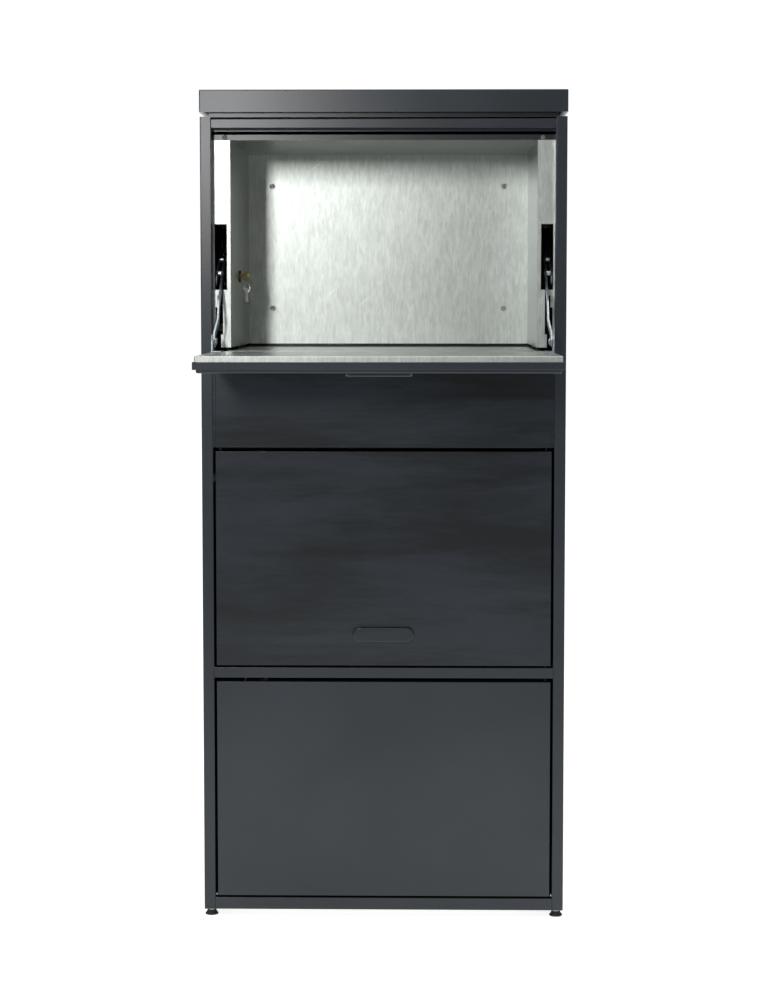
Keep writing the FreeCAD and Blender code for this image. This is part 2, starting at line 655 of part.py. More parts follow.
# ---- arms and cranks in the side cavities ----
def arms():
    up = Vector(0, knee.y - door_pivot.y, knee.z - door_pivot.z)
    up.normalize()
    across = Vector(0, -up.z, up.y) * (arm_width / 2)
    low = door_pivot + up * joggle_low
    high = door_pivot + up * joggle_high

    def section(at, x):
        corners = [at + across, at - across]
        ring = [Vector(x, p.y, p.z) for p in corners]
        ring += [Vector(x + arm_thickness, p.y, p.z) for p in reversed(corners)]
        return Part.makePolygon(ring + ring[:1])

    eye = bar_x(door_pivot, low, arm_width, arm_foot_plane, arm_foot_plane + arm_thickness)
    eye_keep = plate_x([(p.y, p.z) for p in (low + across * 2, low - across * 2,
                                             door_pivot - across * 2 - up * arm_width,
                                             door_pivot + across * 2 - up * arm_width)],
                       arm_foot_plane, arm_foot_plane + arm_thickness)
    eye = eye.common(eye_keep)
    joggle = Part.makeLoft([section(low, arm_foot_plane), section(high, arm_plane)], True, True)
    shank = bar_x(high, knee, arm_width, arm_plane, arm_plane + arm_thickness)
    shank_keep = plate_x([(p.y, p.z) for p in (high + across * 2, high - across * 2,
                                               knee - across * 2 + up * arm_width,
                                               knee + across * 2 + up * arm_width)],
                         arm_plane, arm_plane + arm_thickness)
    shank = shank.common(shank_keep)
    bar = bar_x(knee, arm_top, arm_width, arm_plane, arm_plane + arm_thickness)
    arm = eye.fuse([joggle, shank, bar]).removeSplitter()
    hole_radius = pin_radius + running_fit
    arm = arm.cut([rod_x(arm_plane - cut_over, arm_foot_plane + arm_thickness + cut_over, p, hole_radius)
                   for p in (door_pivot, arm_top)])

    run = Vector(0, arm_top.y - knee.y, arm_top.z - knee.z)
    bolts_at = [knee + run * share for share in arm_bolt_shares]
    arm = arm.cut([rod_x(arm_plane - cut_over, arm_plane + arm_thickness + cut_over, p, arm_bolt_radius)
                   for p in bolts_at])
    both_sides("link_arm", arm)

    plate_out = arm_plate_plane + arm_thickness
    outer = bar_x(knee + run * arm_plate_share, arm_top, arm_width, arm_plate_plane, plate_out)
    through = (arm_plate_plane - cut_over, plate_out + cut_over)
    outer = outer.cut(rod_x(*through, arm_top, hole_radius))
    outer = outer.cut([rod_x(*through, p, arm_bolt_radius) for p in bolts_at])
    both_sides("arm_plate", outer)
    bolts = []
    for p in bolts_at:
        shank_bolt = rod_x(arm_plane, plate_out, p, arm_bolt_radius)
        sleeve = rod_x(arm_plane + arm_thickness, arm_plate_plane, p, arm_bolt_radius + arm_sleeve_wall)
        bolts.append(shank_bolt.fuse(sleeve).removeSplitter())
    export("arm_bolts_right", *bolts)
    export("arm_bolts_left", *[mirrored(b) for b in bolts])


def cranks():
    x0 = crank_plane
    x1 = crank_plane + crank_thickness
    lever = bar_x(crank_axis, arm_top, arm_width, x0, x1)
    lever = lever.fuse(bar_x(crank_axis, link_pin, link_width, x0, x1))
    lever = lever.cut(rod_x(x0 - cut_over, x1 + cut_over, crank_axis, stud_radius + running_fit))
    arm_pin = rod_x(x1, arm_plate_plane + arm_thickness + arm_pin_over, arm_top, pin_radius)
    pin = rod_x(x1, arm_plane + arm_thickness + link_pin_over, link_pin, pin_radius)
    both_sides("crank", lever.fuse([arm_pin, pin]).removeSplitter())

    journal = rod_x(hopper_half, x1 + side_play, crank_axis, stud_radius)
    shoulder = rod_x(hopper_half + sheet, x0 - side_play, crank_axis, stud_radius + stud_shoulder)
    head = rod_x(x1 + side_play, x1 + side_play + stud_head_height, crank_axis,
                 stud_radius + stud_head_flare)
    stud = journal.fuse([shoulder, head]).removeSplitter()
    export("crank_studs", stud, mirrored(stud))

    x0 = arm_plane
    x1 = arm_plane + arm_thickness
    link = bar_x(link_pin, flap_pin, link_width, x0, x1)
    cross = Vector(0, math.sin(link_line), -math.cos(link_line))
    slot_end = flap_pin + cross * link_slip
    yoke = bar_x(flap_pin, slot_end, link_width, x0, x1)
    slot = bar_x(flap_pin, slot_end, 2 * (pin_radius + side_play), x0 - cut_over, x1 + cut_over)
    link = link.fuse(yoke).cut(slot)
    link = link.cut(rod_x(x0 - cut_over, x1 + cut_over, link_pin, pin_radius + running_fit))
    both_sides("flap_link", link.removeSplitter())


def floor_flap():
    y0 = flap_front
    y1 = hopper_back - flap_end_gap
    low = floor_level - flap_thickness
    outer = wide(flap_half, y0, y1, low, floor_level)
    hollow = wide(flap_half - sheet, y0 + sheet, y1 - sheet, low - sheet, floor_level - sheet)
    flap = outer.cut(hollow)
    block = box(flap_half - flap_block, flap_half, flap_pin.y - flap_block_ahead, y1, low, floor_level)
    pin = rod_x(flap_half, arm_plane + arm_thickness + link_pin_over, flap_pin, pin_radius)
    flap = flap.fuse([block, pin, mirrored(block), mirrored(pin)])
    hole = rod_x(-half, half, flap_axis, hinge_pin_radius + running_fit)
    export("floor_flap", flap.cut(hole).removeSplitter())

    stay_in = flap_half + side_play
    stay = box(stay_in, stay_in + stay_thickness, flap_axis.y - stay_half, back_inside,
               flap_axis.z - stay_half, flap_axis.z + stay_half)
    pin = rod_x(flap_half - flap_block, stay_in + stay_thickness, flap_axis, hinge_pin_radius)
    bearer = stay.fuse(pin).removeSplitter()
    export("flap_hinge_brackets", bearer, mirrored(bearer))


# ---- front doors ----
def front_door(z0, z1):
    outer = wide(front_half, 0, front_thickness, z0, z1)
    outer = softened(outer, bend_radius, lambda e: e.YMax < sheet / 2)
    hollow = wide(front_half - sheet, sheet, front_thickness - sheet, z0 + sheet, z1 - sheet)
    back_open = wide(front_half - panel_return, front_thickness - 2 * sheet, front_thickness + sheet,
                     z0 + panel_return, z1 - panel_return)
    door = outer.cut([hollow, back_open])
    pin_hole = rod_z(front_axis_x, front_axis_in, z0 - sheet, z1 + sheet, hinge_pin_radius + running_fit)
    return door.cut(pin_hole)


def hinge_pin(z_seam_low, z_seam_high):
    return rod_z(front_axis_x, front_axis_in, z_seam_low - pin_hold, z_seam_high + pin_hold,
                 hinge_pin_radius)


def front_doors():
    door = front_door(storage_door_bottom, storage_door_top)
    door = pull_cut(door, storage_door_bottom + pull_up)
    export("storage_door", door.removeSplitter())
    export("base_door", front_door(base_door_bottom, base_door_top).removeSplitter())
    export("front_hinge_pins",
           hinge_pin(bottom_rail_top, base_door_bottom),
           hinge_pin(base_door_top, middle_rail_bottom),
           hinge_pin(middle_rail_top, storage_door_bottom),
           hinge_pin(storage_door_top, fascia_bottom))

    low = (storage_door_bottom + storage_door_top) / 2 + storage_hat_up
    high = low + storage_hat_height
    hat = wide(front_half - 2 * panel_return, sheet, front_thickness - sheet, low, high)
    hollow = wide(front_half, 2 * sheet, front_thickness, low + sheet, high - sheet)
    export("storage_door_stiffener", hat.cut(hollow))

    y1 = front_thickness + striker_reach
    x1 = striker_width - front_half
    high = striker_height + striker_thickness
    plate = box(-front_half, x1, front_thickness, y1, striker_height, high)
    tab = box(-front_half, x1, front_thickness, front_thickness + 2 * sheet,
              striker_height - striker_drop, high)
    window = box(-rod_plane - rod_thickness - striker_play, -rod_plane + striker_play,
                 finger_y - striker_play, finger_y + finger_width + striker_play,
                 striker_height - cut_over, high + cut_over)
    export("storage_striker", plate.fuse(tab).cut(window).removeSplitter())

    x1 = bolt_knob_x - bolt_front - keeper_gap
    x0 = x1 - keeper_thickness
    low = bolt_z - lug_width / 2
    high = base_door_top - sheet
    plate = box(x0, x1, front_thickness, bolt_y + lug_width / 2, low, high)
    foot = box(x0 - keeper_foot, x1, front_thickness, front_thickness + 2 * sheet,
               base_door_top - panel_return, high)
    hole = rod_x(x0 - cut_over, x1 + cut_over, Vector(0, bolt_y, bolt_z), bolt_radius + bolt_play)
    export("base_door_keeper", plate.fuse(foot).cut(hole).removeSplitter())

    at = Vector(0, bolt_y, bolt_z)
    bolt = rod_x(bolt_knob_x - bolt_front, bolt_knob_x + bolt_rear, at, bolt_radius)
    knob_low = middle_rail_top + knob_gap
    stem = rod_z(bolt_knob_x, bolt_y, bolt_z, knob_low + knob_gap, bolt_stem_radius)
    knob = rod_z(bolt_knob_x, bolt_y, knob_low, knob_low + knob_height, knob_radius)
    export("base_slide_bolt", bolt.fuse([stem, knob]).removeSplitter())


# ---- lock, latch rod and keys ----
def lock():
    at = Vector(0, lock_y, lock_z)
    wall = -hopper_half
    behind = -cam_plane
    collar_face = wall + collar_height
    barrel = rod_x(behind + side_play, wall + barrel_over, at, lock_radius)
    collar = rod_x(wall, collar_face, at, lock_radius + collar_flare)
    bore = rod_x(behind, collar_face + cut_over, at, core_radius + running_fit)
    export("lock_body", barrel.fuse(collar).cut(bore).removeSplitter())
    nut_end = wall - sheet - lock_nut_thickness
    nut = rod_x(nut_end, wall - sheet, at, lock_radius + lock_nut_flare)
    export("lock_nut", nut.cut(rod_x(nut_end - cut_over, wall, at, lock_radius)))
    core = rod_x(behind - cam_thickness, collar_face - core_recess, at, core_radius)
    keyway = box(wall - keyway_depth, collar_face + cut_over, lock_y - keyway_half_width,
                 lock_y + keyway_half_width, lock_z - keyway_half_height, lock_z + keyway_half_height)
    export("lock_core", core.cut(keyway))

    rise = cam_travel / math.radians(90)

    def slot_side(offset):
        points = []
        for step in range(cam_steps + 1):
            turn = math.radians(90) * step / cam_steps
            r = cam_far - rise * turn
            centre = Vector(0, -r * math.sin(turn), -r * math.cos(turn))
            tangent = Vector(0, rise * math.sin(turn) - r * math.cos(turn),
                             rise * math.cos(turn) + r * math.sin(turn))
            tangent.normalize()
            normal = Vector(0, -tangent.z, tangent.y)
            points.append(at + centre + normal * offset + Vector(behind, 0, 0))
        curve = Part.BSplineCurve()
        curve.interpolate(points)
        return curve.toShape(), points

    slot_half = follower_radius + follower_play
    side_a, points_a = slot_side(slot_half)
    side_b, points_b = slot_side(-slot_half)
    ends = [Part.makeLine(points_a[0], points_b[0]), Part.makeLine(points_a[-1], points_b[-1])]
    ring = Part.Wire(Part.__sortEdges__([side_a, ends[1], side_b, ends[0]]))
    slot = Part.Face(ring).extrude(Vector(-cam_thickness, 0, 0))
    far = at + Vector(0, 0, -cam_far)
    near = at + Vector(0, -(cam_far - cam_travel), 0)
    round_ends = [rod_x(behind - cam_thickness, behind, p, slot_half) for p in (far, near)]
    disc = rod_x(behind - cam_thickness, behind, at, cam_radius)
    quarter = box(behind - cam_thickness, behind, lock_y - cam_radius, lock_y + cam_heel,
                  lock_z - cam_radius, lock_z + cam_heel)
    cam = disc.common(quarter).cut(rod_x(behind - 2 * cam_thickness, behind + cut_over, at, core_radius))
    export("lock_cam", cam.cut([slot] + round_ends).removeSplitter())
    export("cam_circlip", rod_x(behind - cam_thickness - circlip_thickness, behind - cam_thickness, at,
                                core_radius + circlip_flare))

    x0 = -rod_plane - rod_thickness
    low = lock_z - cam_far
    turn_z = fascia_top - rod_step_below
    lower_y = finger_y + finger_width + rod_step_clear
    finger_top = striker_height - finger_below
    outline = [(lock_y - rod_width / 2, low + rod_head), (lock_y + rod_width / 2, low + rod_head),
               (lock_y + rod_width / 2, turn_z), (lower_y + rod_width, turn_z),
               (lower_y + rod_width, finger_low - rod_width), (finger_y, finger_low - rod_width),
               (finger_y, finger_top), (finger_y + finger_width, finger_top),
               (finger_y + finger_width, finger_low), (lower_y, finger_low),
               (lower_y, turn_z + rod_width), (lock_y - rod_width / 2, turn_z + rod_width)]
    rod = plate_x(outline, x0, -rod_plane)
    follower = rod_x(-rod_plane, behind + follower_end, at + Vector(0, 0, -cam_far), follower_radius)
    export("latch_rod", rod.fuse(follower).removeSplitter())

    def guide(y, z):
        top = z + guide_height
        block = box(-panel_inside, -rod_plane + guide_front, y - guide_wall, y + rod_width + guide_wall,
                    z, top)
        return block.cut(box(x0 - guide_side_play, -rod_plane + side_play, y - side_play,
                             y + rod_width + side_play, z - cut_over, top + cut_over))
    export("latch_guides", guide(lock_y - rod_width / 2, guide_levels[0]), guide(lower_y, guide_levels[1]))


def keys():
    wall = -hopper_half
    bow_x = wall + key_out
    y0 = lock_y - key_half
    y1 = lock_y + key_half
    bow = rod_y(bow_x, y0, y1, lock_z, key_bow_radius)
    blade = box(wall - key_blade_depth, bow_x - key_blade_overlap, y0, y1,
                lock_z - key_blade_half, lock_z + key_blade_half)
    hole = Vector(bow_x + key_hole_out, lock_y, lock_z - key_hole_down)
    key = bow.fuse(blade).cut(rod_y(hole.x, y0 - cut_over, y1 + cut_over, hole.z, key_hole_radius))
    export("key", key.removeSplitter())

    centre = hole - Vector(0, 0, link_ring_radius + link_ring_drop)
    link_ring = Part.makeTorus(link_ring_radius, link_ring_wire, centre, Vector(1, 0, 0))
    spare_hole = centre - Vector(0, 0, link_ring_radius + spare_hole_drop)
    big_centre = spare_hole - Vector(0, 0, big_ring_radius + big_ring_drop)
    big_ring = Part.makeTorus(big_ring_radius, big_ring_wire, big_centre, Vector(1, 1, 0))
    export("key_rings", link_ring, big_ring)

    middle = spare_hole - Vector(0, 0, spare_bow_drop)
    spare_bow = rod_y(middle.x, y0, y1, middle.z, spare_bow_radius)
    spare_blade = box(middle.x - spare_blade_half, middle.x + spare_blade_half, y0, y1,
                      middle.z - spare_blade_end, middle.z - spare_blade_start)
    eye = rod_y(spare_hole.x, y0 - cut_over, y1 + cut_over, spare_hole.z, spare_hole_radius)
    export("spare_key", spare_bow.fuse(spare_blade).cut(eye).removeSplitter())


frame()
rails()
roof()
floors()
feet()
hopper()
drop_door()
door_brackets()
arms()
cranks()
floor_flap()
front_doors()
lock()
keys()
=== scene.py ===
import json
import math

import bmesh
import bpy
from mathutils import Matrix, Vector


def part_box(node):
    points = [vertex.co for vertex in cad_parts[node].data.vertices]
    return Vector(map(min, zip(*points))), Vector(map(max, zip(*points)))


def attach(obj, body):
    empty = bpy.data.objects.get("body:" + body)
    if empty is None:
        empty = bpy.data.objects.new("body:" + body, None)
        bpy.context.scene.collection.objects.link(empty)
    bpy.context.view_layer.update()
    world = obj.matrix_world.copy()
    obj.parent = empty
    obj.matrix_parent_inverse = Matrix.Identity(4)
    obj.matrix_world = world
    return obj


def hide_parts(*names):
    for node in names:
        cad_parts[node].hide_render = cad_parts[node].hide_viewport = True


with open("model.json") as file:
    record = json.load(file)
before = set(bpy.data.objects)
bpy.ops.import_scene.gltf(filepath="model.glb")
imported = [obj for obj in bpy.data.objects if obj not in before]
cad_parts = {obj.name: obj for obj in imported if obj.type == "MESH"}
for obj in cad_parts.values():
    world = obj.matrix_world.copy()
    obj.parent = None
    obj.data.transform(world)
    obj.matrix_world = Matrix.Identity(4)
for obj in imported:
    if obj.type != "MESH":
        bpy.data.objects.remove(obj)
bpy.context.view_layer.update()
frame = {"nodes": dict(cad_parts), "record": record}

mm = 0.001
print("frame loaded:", len(frame["nodes"]), "nodes")


def toLinear(hexColour):
    # the sRGB curve, from a hex value to linear light
    parts = [int(hexColour[i:i + 2], 16) / 255 for i in (1, 3, 5)]
    return [c / 12.92 if c <= 0.04045 else ((c + 0.055) / 1.055) ** 2.4 for c in parts] + [1.0]


def addNode(material, kind, settings=None, links=None):
    # one node with its settings; links maps an input to (node, output)
    node = material.node_tree.nodes.new(kind)
    for key, value in (settings or {}).items():
        if isinstance(key, int) or key in node.inputs:
            node.inputs[key].default_value = value
        else:
            setattr(node, key, value)
    for key, (source, output) in (links or {}).items():
        material.node_tree.links.new(source.outputs[output], node.inputs[key])
    return node


def newMaterial(name, look):
    material = bpy.data.materials.new(name)
    material.use_nodes = True
    shader = material.node_tree.nodes["Principled BSDF"]
    shader.inputs["Base Color"].default_value = toLinear(look["colour"])
    shader.inputs["Roughness"].default_value = look["roughness"]
    shader.inputs["Metallic"].default_value = look.get("metallic", 0.0)
    if "ior" in look:
        shader.inputs["IOR"].default_value = look["ior"]
    return material, shader


def feed(material, shader, socket, source, output):
    material.node_tree.links.new(source.outputs[output], shader.inputs[socket])


# Polyester powder coat, sprayed and baked: an even anthracite with a fine orange peel and a
# soft gloss. The real peel is about 1 mm across, drawn at 2.6 mm so that it shows.
powderCoat = {
    "colour": "#272e34", "dry": "#2f363d", "roughness": 0.245, "ior": 1.5,
    "peelMm": 2.6, "peelHeightMm": 0.05, "peelBump": 0.4,
    "cloudMm": 210.0, "cloudFrom": 0.35, "cloudFull": 0.7, "cloudRough": 0.03,
    "smearMm": 70.0, "smearLong": 7.0, "smearWarp": 0.5, "smearFrom": 0.5, "smearFull": 0.74,
    "smearDark": "#070c11", "smearAmount": 0.0,
    "wipeMm": 6.0, "wipeShare": 0.22, "wipeWarp": 0.3,
    "glossFull": 0.75, "glossSpread": 0.0,
}
# The same coat where hands and cloths pass: long wiping marks that stay darker
handledCoat = dict(powderCoat, colour="#222931", dry="#2a323a", smearAmount=0.8, glossSpread=-0.02)


def powderCoatedSteel(name, look):
    material, shader = newMaterial(name, look)
    place = addNode(material, "ShaderNodeTexCoord")
    peel = addNode(material, "ShaderNodeTexNoise", {"Scale": 1000 / look["peelMm"], "Detail": 2.0},
                   {"Vector": (place, "Object")})
    cloud = addNode(material, "ShaderNodeTexNoise",
                    {"Scale": 1000 / look["cloudMm"], "Detail": 3.0},
                    {"Vector": (place, "Object")})
    spread = addNode(material, "ShaderNodeMapRange",
                     {"From Min": look["cloudFrom"], "From Max": look["cloudFull"]},
                     {"Value": (cloud, "Fac")})
    coat = addNode(material, "ShaderNodeMix",
                   {"data_type": "RGBA", 6: toLinear(look["colour"]), 7: toLinear(look["dry"])},
                   {"Factor": (spread, "Result")})
    level = addNode(material, "ShaderNodeMapping", {"Scale": (1.0, 1.0, look["smearLong"])},
                    {"Vector": (place, "Object")})
    smear = addNode(material, "ShaderNodeTexNoise",
                    {"Scale": 1000 / (look["smearMm"] * look["smearLong"]), "Detail": 4.0,
                     "Roughness": 0.55, "Distortion": look["smearWarp"]},
                    {"Vector": (level, "Vector")})
    wipe = addNode(material, "ShaderNodeTexNoise",
                   {"Scale": 1000 / (look["wipeMm"] * look["smearLong"]), "Detail": 3.0,
                    "Distortion": look["wipeWarp"]},
                   {"Vector": (level, "Vector")})
    both = addNode(material, "ShaderNodeMath", {"operation": "MULTIPLY_ADD", 1: look["wipeShare"]},
                   {0: (wipe, "Fac"), 2: (smear, "Fac")})
    marks = addNode(material, "ShaderNodeMapRange",
                    {"From Min": look["smearFrom"], "From Max": look["smearFull"],
                     "To Max": look["smearAmount"]},
                    {"Value": (both, "Value")})
    colour = addNode(material, "ShaderNodeMix",
                     {"data_type": "RGBA", 7: toLinear(look["smearDark"])},
                     {"Factor": (marks, "Result"), 6: (coat, 2)})
    feed(material, shader, "Base Color", colour, 2)
    smoothest = look["roughness"] - look["cloudRough"] / 2
    gloss = addNode(material, "ShaderNodeMapRange",
                    {"From Min": look["smearFrom"], "From Max": look["glossFull"],
                     "To Min": smoothest, "To Max": smoothest + look["glossSpread"]},
                    {"Value": (both, "Value")})
    satin = addNode(material, "ShaderNodeMath",
                    {"operation": "MULTIPLY_ADD", 1: look["cloudRough"]},
                    {0: (cloud, "Fac"), 2: (gloss, "Result")})
    feed(material, shader, "Roughness", satin, "Value")
    bump = addNode(material, "ShaderNodeBump",
                   {"Strength": look["peelBump"], "Distance": look["peelHeightMm"] * mm},
                   {"Height": (peel, "Fac")})
    feed(material, shader, "Normal", bump, "Normal")
    return material


# Hot-dip galvanised sheet, temper rolled: flattened zinc crystals that look like short upright
# dashes, a cloudy grey, and a few light scratches from parcels and handling.
# The real dashes are under 1 mm wide, drawn at 2.6 mm so that they show.
galvanised = {
    "colour": "#cfd4cf", "dull": "#b5bab5", "roughness": 0.315, "metallic": 1.0,
    "dashMm": 2.6, "dashLong": 5.0, "crystalMm": 4.4, "crystalShare": 0.3,
    "cloudMm": 60.0, "cloudShare": 0.5, "toneFrom": 0.55, "toneFull": 1.2,
    "cloudDull": 0.04, "facetDull": 0.012, "grainBump": 0.05, "grainHeightMm": 0.05,
    "scratch": "#eef0ec", "scratchMm": 2.2, "scratchLong": 34.0, "scratchDeep": 3.0,
    "scratchTilt": 38.0, "scratchFrom": 0.75, "scratchFull": 0.83,
    "areaMm": 120.0, "areaFrom": 0.53, "areaFull": 0.61,
}
# The same sheet, darker grey, for the ceiling under the roof: painted shade that stands in for the
# shadow the ceiling lies in
shadeDarkenedZinc = dict(galvanised, colour="#8e938e", dull="#7b807b")


def galvanisedSheet(name, look):
    material, shader = newMaterial(name, look)
    place = addNode(material, "ShaderNodeTexCoord")
    upright = addNode(material, "ShaderNodeMapping", {"Scale": (1.0, 1.0, 1 / look["dashLong"])},
                      {"Vector": (place, "Object")})
    dashes = addNode(material, "ShaderNodeTexNoise",
                     {"Scale": 1000 / look["dashMm"], "Detail": 2.5, "Roughness": 0.55},
                     {"Vector": (upright, "Vector")})
    crystals = addNode(material, "ShaderNodeTexVoronoi", {"Scale": 1000 / look["crystalMm"]},
                       {"Vector": (upright, "Vector")})
    facet = addNode(material, "ShaderNodeSeparateColor", None, {"Color": (crystals, "Color")})
    cloud = addNode(material, "ShaderNodeTexNoise",
                    {"Scale": 1000 / look["cloudMm"], "Detail": 5.0, "Roughness": 0.6},
                    {"Vector": (place, "Object")})
    mixed = addNode(material, "ShaderNodeMath",
                    {"operation": "MULTIPLY_ADD", 1: look["crystalShare"]},
                    {0: (facet, "Red"), 2: (dashes, "Fac")})
    cloudy = addNode(material, "ShaderNodeMath",
                     {"operation": "MULTIPLY_ADD", 1: look["cloudShare"]},
                     {0: (cloud, "Fac"), 2: (mixed, "Value")})
    spread = addNode(material, "ShaderNodeMapRange",
                     {"From Min": look["toneFrom"], "From Max": look["toneFull"]},
                     {"Value": (cloudy, "Value")})
    zinc = addNode(material, "ShaderNodeMix",
                   {"data_type": "RGBA", 6: toLinear(look["dull"]), 7: toLinear(look["colour"])},
                   {"Factor": (spread, "Result")})
    tilted = addNode(material, "ShaderNodeMapping",
                     {"vector_type": "TEXTURE",
                      "Rotation": (0, math.radians(-look["scratchTilt"]), 0),
                      "Scale": (look["scratchLong"], look["scratchDeep"], 1.0)},
                     {"Vector": (place, "Object")})
    lines = addNode(material, "ShaderNodeTexNoise",
                    {"Scale": 1000 / look["scratchMm"], "Detail": 1.0},
                    {"Vector": (tilted, "Vector")})
    thin = addNode(material, "ShaderNodeMapRange",
                   {"From Min": look["scratchFrom"], "From Max": look["scratchFull"]},
                   {"Value": (lines, "Fac")})
    area = addNode(material, "ShaderNodeTexNoise",
                   {"Scale": 1000 / look["areaMm"], "Detail": 1.0},
                   {"Vector": (place, "Object")})
    where = addNode(material, "ShaderNodeMapRange",
                    {"From Min": look["areaFrom"], "From Max": look["areaFull"]},
                    {"Value": (area, "Fac")})
    scratched = addNode(material, "ShaderNodeMath", {"operation": "MULTIPLY"},
                        {0: (thin, "Result"), 1: (where, "Result")})
    colour = addNode(material, "ShaderNodeMix",
                     {"data_type": "RGBA", 7: toLinear(look["scratch"])},
                     {"Factor": (scratched, "Value"), 6: (zinc, 2)})
    feed(material, shader, "Base Color", colour, 2)
    rough = addNode(material, "ShaderNodeMath",
                    {"operation": "MULTIPLY_ADD", 1: look["cloudDull"],
                     2: look["roughness"] - look["cloudDull"] / 2},
                    {0: (cloud, "Fac")})
    rougher = addNode(material, "ShaderNodeMath",
                      {"operation": "MULTIPLY_ADD", 1: look["facetDull"]},
                      {0: (facet, "Green"), 2: (rough, "Value")})
    feed(material, shader, "Roughness", rougher, "Value")
    bump = addNode(material, "ShaderNodeBump",
                   {"Strength": look["grainBump"], "Distance": look["grainHeightMm"] * mm},
                   {"Height": (mixed, "Value")})
    feed(material, shader, "Normal", bump, "Normal")
    return material


# What every plated piece shares: the grain of its plating
plating = {"metallic": 1.0, "toneFrom": 0.35, "toneFull": 0.65, "duller": 0.08, "glossier": 0.04,
           "grainBump": 0.15, "grainHeightMm": 0.03}
# Clear zinc-plated pressed steel: cool blue-grey, smooth, with a cloudy plating grain
zincPlated = dict(plating, colour="#c3ccd3", dull="#98a4ae", roughness=0.33, grainMm=4.0)
# Turned steel with bright zinc: lighter and glossier
brightZinc = dict(plating, colour="#dadcdd", dull="#b5b9bc", roughness=0.2, grainMm=1.8)
# Blackened steel pins: the oil-black finish leaves a dark satin with little shine
blackenedPins = dict(plating, colour="#2b2d2f", dull="#202224", roughness=0.5, grainMm=2.0)
# Die-cast lock with a dull brass wash
lockBrass = dict(plating, colour="#8a7f5c", dull="#655d43", roughness=0.36, grainMm=2.0)
# Stamped brass key whose plating has worn off: a dull olive yellow
wornKey = dict(plating, colour="#b3a672", dull="#8c8258", roughness=0.4, grainMm=2.5)
# Stamped key and wire rings with bright nickel: a warm white with a soft shine
nickelPlate = dict(plating, colour="#ece9e2", dull="#cdc9c1", roughness=0.36, grainMm=2.5)


def platedMetal(name, look):
    material, shader = newMaterial(name, look)
    place = addNode(material, "ShaderNodeTexCoord")
    grain = addNode(material, "ShaderNodeTexNoise",
                    {"Scale": 1000 / look["grainMm"], "Detail": 4.0},
                    {"Vector": (place, "Object")})
    spread = addNode(material, "ShaderNodeMapRange",
                     {"From Min": look["toneFrom"], "From Max": look["toneFull"]},
                     {"Value": (grain, "Fac")})
    colour = addNode(material, "ShaderNodeMix",
                     {"data_type": "RGBA", 6: toLinear(look["dull"]), 7: toLinear(look["colour"])},
                     {"Factor": (spread, "Result")})
    feed(material, shader, "Base Color", colour, 2)
    rough = addNode(material, "ShaderNodeMapRange",
                    {"To Min": look["roughness"] + look["duller"],
                     "To Max": look["roughness"] - look["glossier"]},
                    {"Value": (grain, "Fac")})
    feed(material, shader, "Roughness", rough, "Result")
    bump = addNode(material, "ShaderNodeBump",
                   {"Strength": look["grainBump"], "Distance": look["grainHeightMm"] * mm},
                   {"Height": (grain, "Fac")})
    feed(material, shader, "Normal", bump, "Normal")
    return material


# What every moulded piece shares: the grain that its mould leaves
moulding = {"roughSpread": 0.08, "grainBump": 0.3, "grainHeightMm": 0.06}
# Moulded polyamide feet: near black, a spark-eroded mould grain that takes the shine off.
# The real grain is about 0.3 mm, drawn at 0.9 mm so that it shows.
feetNylon = dict(moulding, colour="#1b1c1e", dull="#26282a", roughness=0.5, ior=1.53, grainMm=0.9)
# Moulded soft rubber: matt grey, slightly dusty
bumperRubber = dict(moulding, colour="#8f9293", dull="#7c7f80", roughness=0.6, ior=1.52,
                    grainMm=1.4)
# Moulded polyethylene: grey with a waxy half gloss
plugPlastic = dict(moulding, colour="#8c9090", dull="#7c8181", roughness=0.45, ior=1.5,
                   grainMm=1.2)


def mouldedPlastic(name, look):
    material, shader = newMaterial(name, look)
    place = addNode(material, "ShaderNodeTexCoord")
    grain = addNode(material, "ShaderNodeTexNoise",
                    {"Scale": 1000 / look["grainMm"], "Detail": 3.0},
                    {"Vector": (place, "Object")})
    colour = addNode(material, "ShaderNodeMix",
                     {"data_type": "RGBA", 6: toLinear(look["colour"]), 7: toLinear(look["dull"])},
                     {"Factor": (grain, "Fac")})
    feed(material, shader, "Base Color", colour, 2)
    rough = addNode(material, "ShaderNodeMapRange",
                    {"To Min": look["roughness"] - look["roughSpread"],
                     "To Max": look["roughness"] + look["roughSpread"]},
                    {"Value": (grain, "Fac")})
    feed(material, shader, "Roughness", rough, "Result")
    bump = addNode(material, "ShaderNodeBump",
                   {"Strength": look["grainBump"], "Distance": look["grainHeightMm"] * mm},
                   {"Height": (grain, "Fac")})
    feed(material, shader, "Normal", bump, "Normal")
    return material


finishes = {
    "anthracite_coat": powderCoatedSteel("powderCoatedSteel", powderCoat),
    "galvanised_sheet": galvanisedSheet("galvanisedRolledSheet", galvanised),
    "zinc_plated_steel": platedMetal("zincPlatedSteel", zincPlated),
    "bright_steel": platedMetal("brightZincSteel", brightZinc),
    "lock_brass": platedMetal("brassWashedLock", lockBrass),
    "nickel_plate": platedMetal("nickelPlatedSteel", nickelPlate),
    "black_plastic": mouldedPlastic("mouldedPolyamide", feetNylon),
    "grey_rubber": mouldedPlastic("mouldedRubber", bumperRubber),
    "grey_plastic": mouldedPlastic("mouldedPolyethylene", plugPlastic),
}
